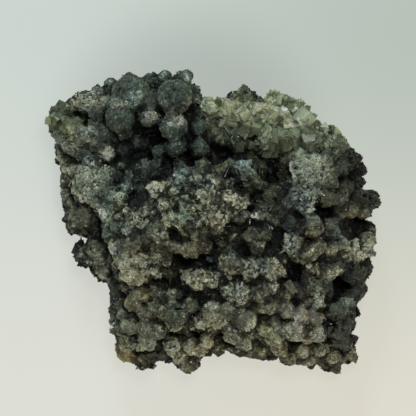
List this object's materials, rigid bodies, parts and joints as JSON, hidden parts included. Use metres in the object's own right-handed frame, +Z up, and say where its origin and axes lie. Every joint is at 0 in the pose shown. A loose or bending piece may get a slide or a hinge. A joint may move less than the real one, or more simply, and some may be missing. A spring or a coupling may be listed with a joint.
{
  "type": "mineral specimen",
  "caption": "Rough hand-sized cluster of green prehnite balls and crystals grown through with dark epidote, flat underneath so that it lies steadily.",
  "frame": {"origin": "middle of the flat spot on the underside that the cluster rests on", "axes": "+Z up from the surface it rests on; seen from above, +X is to the right and +Y away, with the two crown balls at the far left"},
  "size_m": [0.1005, 0.0896, 0.0488],
  "materials": {
    "prehnite_epidote": "dark grey-green glassy to sugary crystal crust, with pale yellow-green crystals, beige crests and brown-black pockets"
  },
  "bodies": {
    "root": {"crystal_cluster": "prehnite_epidote"}
  },
  "joints": []
}
